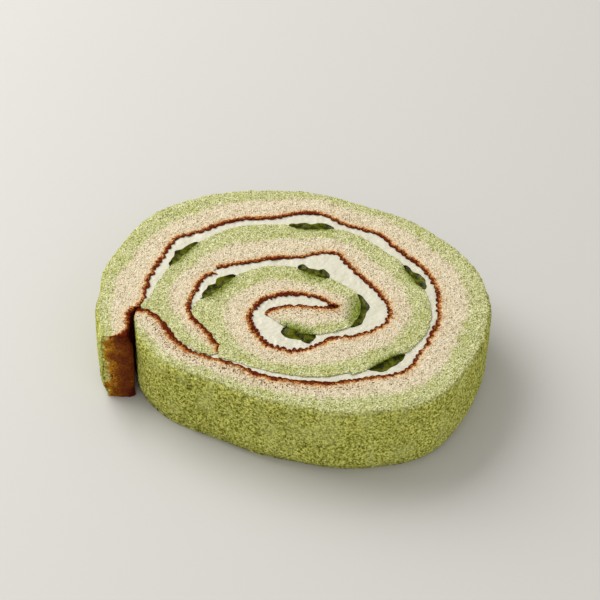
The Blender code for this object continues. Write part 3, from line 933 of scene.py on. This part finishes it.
def sponge_crumb():
    """Chiffon sponge, cut with a knife: matt, full of open bubbles under 1 mm, each painted darker
    inside as shade.

    The border between the white and the green dough is blurred over about 2 mm. The baked skin
    is a dark brown line with an amber fringe, and juice turns the crumb a vivid green.
    """
    material, tree, shader, place = new_material("chiffon_sponge_crumb")
    mark = {}
    for title in ("border", "baked", "pit_shade", "side", "pale", "crust", "from_crease", "soaked",
                  "specks"):
        mark[title] = add(tree, "Attribute", attribute_name=title)["Fac"]
    noise = {}
    for size, detail in ((GRAIN, 2.0), (COARSE_GRAIN, 3.0), (BLOTCH, 2.0)):
        inputs = {"Vector": place, "Scale": 1 / (size * MM), "Detail": detail}
        noise[size] = add(tree, "TexNoise", inputs)["Fac"]
    blotch = noise[BLOTCH]
    cells = add(tree, "TexVoronoi", {"Vector": place, "Scale": 1 / (PORE_CELL * MM)})
    dots = add(tree, "TexVoronoi", {"Vector": place, "Scale": 1 / (DOT * MM)})
    chance = add(tree, "SeparateColor", {0: cells["Color"]})
    dot_chance = add(tree, "SeparateColor", {0: dots["Color"]})

    # Grains are half noise and half round dots, and on the side half of them are coarse
    grain = add(tree, "MapRange", {"Value": noise[GRAIN], 1: 0.34, 2: 0.66})[0]
    round_grain = add(tree, "MapRange", {"Value": dots["Distance"], 1: 0.2, 2: 0.65, 3: 1.0, 4: 0.0})[0]
    grain = add(tree, "Mix", {0: 0.5, 2: grain, 3: round_grain})[0]
    coarse = add(tree, "MapRange", {"Value": noise[COARSE_GRAIN], 1: 0.37, 2: 0.63})[0]
    torn_grain = add(tree, "Mix", {0: 0.5, 2: grain, 3: coarse})[0]
    torn_grain = add(tree, "MapRange", {"Value": torn_grain, 1: 0.15, 2: 0.85})[0]
    tone = {}
    for title, (between_grains, on_grains) in CRUMB_TONES.items():
        inputs = {0: torn_grain if title == "side" else grain, 6: colour(between_grains),
                  7: colour(on_grains)}
        tone[title] = add(tree, "Mix", inputs, data_type="RGBA")[2]

    # The border strays with the blotches and dot by dot
    blurred = strayed(tree, mark["border"], blotch, 2.4)
    blurred = strayed(tree, blurred, dot_chance[1], 2.2)
    green_share = add(tree, "MapRange", {"Value": blurred, 1: -0.8, 2: 0.8},
                      interpolation_type="SMOOTHSTEP")[0]

    # Green dough is yellower in blotches, and the side has pale streaks
    damp = add(tree, "MapRange", {"Value": blotch, 1: 0.5, 2: 0.75, 4: 0.5})[0]
    green = add(tree, "Mix", {0: damp, 6: tone["green"], 7: colour("#A8AC50")}, data_type="RGBA")[2]
    smeared = add(tree, "Math", {0: mark["pale"], 1: 0.32}, operation="MULTIPLY")[0]
    side = add(tree, "Mix", {0: smeared, 6: tone["side"], 7: colour("#DCE08A")}, data_type="RGBA")[2]
    green = add(tree, "Mix", {0: mark["side"], 6: green, 7: side}, data_type="RGBA")[2]
    dough = add(tree, "Mix", {0: green_share, 6: tone["white"], 7: green}, data_type="RGBA")[2]

    # An open pore is the middle of a cell, in 4 cells of 10, painted darker as the shade inside it, and
    # the relief's pits get painted shade too
    pore = add(tree, "MapRange", {"Value": cells["Distance"], 1: 0.2, 2: 0.45, 3: 1.0, 4: 0.0})[0]
    is_open = add(tree, "Math", {0: chance[0], 1: 0.4}, operation="LESS_THAN")[0]
    pore = add(tree, "Math", {0: pore, 1: is_open}, operation="MULTIPLY")[0]
    deep = add(tree, "Math", {0: mark["pit_shade"], 1: 0.35}, operation="MULTIPLY")[0]
    pore_shade_strength = add(tree, "MapRange", {"Value": mark["side"], 3: 0.45, 4: 0.6})[0]
    deep = add(tree, "Math", {0: pore, 1: pore_shade_strength, 2: deep}, operation="MULTIPLY_ADD")[0]
    # The painted shade's colour: brown in white dough, olive in green, darkest on the side
    shade = add(tree, "Mix", {0: green_share, 6: colour("#A88450"), 7: colour("#8A9438")},
                data_type="RGBA")[2]
    shade = add(tree, "Mix", {0: mark["side"], 6: shade, 7: colour("#787A20")}, data_type="RGBA")[2]
    dough = add(tree, "Mix", {0: deep, 6: dough, 7: shade}, data_type="RGBA", blend_type="MULTIPLY")[2]

    # Brown specks are whole dots
    is_brown = add(tree, "Math", {0: dot_chance[0], 1: mark["specks"]}, operation="LESS_THAN")[0]
    speck = add(tree, "MapRange", {"Value": dots["Distance"], 1: 0.35, 2: 0.6, 3: 1.0, 4: 0.0})[0]
    speck = add(tree, "Math", {0: is_brown, 1: speck}, operation="MULTIPLY")[0]

    # The baked skin: a faint tinge up to 2.2 mm past it, a fringe up to 0.8 mm, and a dark core
    # that is broken dot by dot
    baked = strayed(tree, mark["baked"], grain, 0.7)
    broken = strayed(tree, baked, dot_chance[2], 1.1)
    skin = []
    for past, full, end, most in ((baked, 0.3, 2.2, 0.4), (baked, 0.1, 0.8, 1.0),
                                  (broken, -0.25, 0.3, 1.0)):
        inputs = {"Value": past, 1: full, 2: end, 3: most, 4: 0.0}
        skin.append(add(tree, "MapRange", inputs)[0])
    tinge, fringe, core = skin

    # The lapping end's crust: amber at the outside, darker towards the crease, partly its own browning
    # and partly painted shade of the crease
    ragged = strayed(tree, mark["crust"], blotch, 12.0)
    crust = add(tree, "MapRange", {"Value": ragged, 1: -1.2, 2: -0.9, 3: 1.0, 4: 0.0})[0]
    amber = add(tree, "Math", {0: blotch, 1: 10.0, 2: mark["from_crease"]}, operation="MULTIPLY_ADD")[0]
    amber = add(tree, "Math", {0: grain, 1: 3.0, 2: amber}, operation="MULTIPLY_ADD")[0]
    amber = add(tree, "MapRange", {"Value": amber, 1: 4.0, 2: 10.4})[0]
    crust_browns_and_crease_shade = add(tree, "ValToRGB", {0: amber})["Color"]
    ramp = crust_browns_and_crease_shade.node.color_ramp.elements
    ramp[0].color = colour("#4E1204")
    ramp[1].color = colour("#D09218")
    ramp.new(0.55).color = colour("#7C3C08")

    for share, cover in ((mark["soaked"], tone["juicy"]), (speck, colour("#642E0C")),
                         (tinge, colour("#E0AE74")), (fringe, colour("#B87426")),
                         (core, colour("#5C1A02")), (crust, crust_browns_and_crease_shade)):
        dough = add(tree, "Mix", {0: share, 6: dough, 7: cover}, data_type="RGBA")[2]

    height = add(tree, "Math", {0: pore, 1: -0.8, 2: grain}, operation="MULTIPLY_ADD")[0]
    bump = add(tree, "Bump", {"Height": height, "Strength": 0.9, "Distance": 0.4 * MM})[0]
    fill(tree, shader, {
        "Base Color": dough,
        "Normal": bump,
        "Roughness": add(tree, "MapRange", {"Value": crust, 3: 0.9, 4: 0.5})[0],
        "Specular IOR Level": 0.08,
    })
    return material


def clouded(tree, place, size, detail, dark, light, limits=(0.0, 1.0)):
    """Noise in clouds of a size, and a tone that goes from dark to light between its limits."""
    cloud = add(tree, "TexNoise", {"Vector": place, "Scale": 1 / (size * MM), "Detail": detail})["Fac"]
    share = add(tree, "MapRange", {"Value": cloud, 1: limits[0], 2: limits[1]})[0]
    inputs = {0: share, 6: colour(dark), 7: colour(light)}
    return cloud, add(tree, "Mix", inputs, data_type="RGBA")[2]


def whipped_cream():
    """Whipped cream, smeared by the knife: off-white, softly shining, its edges let light through."""
    material, tree, shader, place = new_material("whipped_cream_smeared")
    smear, tint = clouded(tree, place, CREAM_SMEAR, 3.0, "#BDB9A1", "#D0CCBB")
    fill(tree, shader, {
        "Base Color": tint,
        "Normal": add(tree, "Bump", {"Height": smear, "Strength": 0.4, "Distance": 0.3 * MM})[0],
        "Roughness": 0.45,
        "Subsurface Weight": 0.3,
        "Subsurface Radius": (1.0, 0.9, 0.7),
        "Subsurface Scale": 2.0 * MM,
    })
    return material


def grape_jelly():
    """Green grape jelly: wet and clear, with small highlights, its dark green partly its own and partly
    painted shade deep in its pocket.
    """
    material, tree, shader, place = new_material("grape_jelly_wet")
    # Tones darkened partly as painted shade of the pocket that the jelly sits in
    cloud, tint = clouded(tree, place, JELLY_CLOUD, 3.0, "#202200", "#5A5E06", (0.4, 0.66))
    fill(tree, shader, {
        "Base Color": tint,
        "Normal": add(tree, "Bump", {"Height": cloud, "Strength": 0.8, "Distance": 0.8 * MM})[0],
        "Roughness": 0.13,
        "Specular IOR Level": 0.11,
        "IOR": 1.38,
        "Subsurface Weight": 0.15,
        "Subsurface Radius": (0.6, 1.0, 0.2),
        "Subsurface Scale": 2.0 * MM,
    })
    return material


def pale_floor():
    """A plain pale painted floor with a soft satin face."""
    material, tree, shader, place = new_material("pale_floor_paint")
    _, tint = clouded(tree, place, FLOOR_CLOUD, 2.0, "#B9B7B2", "#BEBCB7")
    fill(tree, shader, {"Base Color": tint, "Roughness": 0.6})
    mesh = bpy.data.meshes.new("floor")
    corners = [(x * FLOOR_REACH, y * FLOOR_REACH, 0) for x, y in ((-1, -1), (1, -1), (1, 1), (-1, 1))]
    mesh.from_pydata(corners, [], [(0, 1, 2, 3)])
    mesh.materials.append(material)
    floor = in_scene("floor", mesh)


def camera():
    """The photograph's view: 42 degrees down, turned 1.5 degrees, from 0.55 m, with a long lens."""
    view = bpy.data.cameras.new("camera")
    view.lens = CAMERA_LENS
    view.sensor_width = CAMERA_SENSOR
    seen_from = in_scene("camera", view)
    down = Matrix.Rotation(math.radians(90 - CAMERA_DOWN), 4, "X")
    turn = Matrix.Rotation(math.radians(CAMERA_TURN), 4, "Z")
    place = (Vector(CAMERA_PLACE) + Vector(EYE)) * MM
    seen_from.matrix_world = Matrix.Translation(place) @ down @ turn
    bpy.context.scene.camera = seen_from


def soft_light():
    """A wide window's soft light from the left, and a bright pale room round it."""
    for title, (place, size, watts) in LIGHTS.items():
        data = bpy.data.lights.new(title, "AREA")
        data.size = size
        data.energy = watts
        light = in_scene(title, data)
        light.location = place
        light.rotation_euler = (-Vector(place)).to_track_quat("-Z", "Y").to_euler()
    world = bpy.data.worlds.new("pale_room")
    world.use_nodes = True
    fill(world.node_tree, world.node_tree.nodes["Background"],
         {"Color": colour(ROOM_COLOUR), "Strength": ROOM_STRENGTH})
    bpy.context.scene.world = world
    bpy.context.scene.view_settings.view_transform = "Standard"


# The two sheets, with the inner one's face dented for the jelly and pressed to its neighbours
outer = rolled_sheet(OUTER_SHEET, OUTER_REACH, OUTER_SPACING, OUTER_BEADS, (), seed=3)
rounded_end(outer)
inner = rolled_sheet(INNER_SHEET, INNER_REACH, INNER_SPACING, INNER_BEADS, INNER_THIN, seed=5)
plain_face = inner.line(inner.face)
inner.face += along_line(plain_face, FACE_RAGGED, 41)
for x, y, length, _, sunk, _ in (OUTER_JELLY | INNER_JELLY).values():
    inner.face -= sunk * lens(plain_face, (x, y), length)
tear(inner)
pressed(inner, outer)

# The roll's eye, from the middle of the slice, where the frame has its origin
outline = outer.line(outer.face)
EYE = np.append(-(outline.min(axis=0) + outline.max(axis=0)) / 2, 0.0)

camera()
soft_light()
pale_floor()
SPONGE = sponge_crumb()
CREAM = whipped_cream()
JELLY = grape_jelly()

sponge_layer("outer_white_crumb", "outer_sheet_white", outer, True, OUTER_WHITE_PLACES,
             SQUARE_EDGES, {}, OUTER_SPECKS, is_outer=True)
sponge_layer("outer_green_crumb", "outer_sheet_green", outer, False, OUTER_GREEN_PLACES,
             SIDE_EDGES, {}, is_outer=True)
sponge_layer("inner_white_crumb", "inner_sheet_white", inner, True, INNER_WHITE_PLACES,
             SQUARE_EDGES, INNER_JELLY, INNER_SPECKS)
sponge_layer("inner_green_crumb", "inner_sheet_green", inner, False, INNER_GREEN_PLACES,
             CUT_EDGES, OUTER_JELLY | INNER_JELLY)

# Both creams span from a sheet's skin to the inner sheet's outline
creased = inner.line(inner.creased)
outline_of_inner = np.vstack([creased[::-1], inner.line(inner.face), creased[-1:]])
own_of_inner = len(creased) - 1 - np.arange(len(creased))
filling("outer_cream_smeared", "outer_cream", outer, OUTER_SMEAR_ENDS, outline_of_inner, None,
        OUTER_JELLY)
filling("inner_cream_smeared", "inner_cream", inner, INNER_SMEAR_ENDS, outline_of_inner,
        own_of_inner, INNER_JELLY)

bpy.context.view_layer.update()
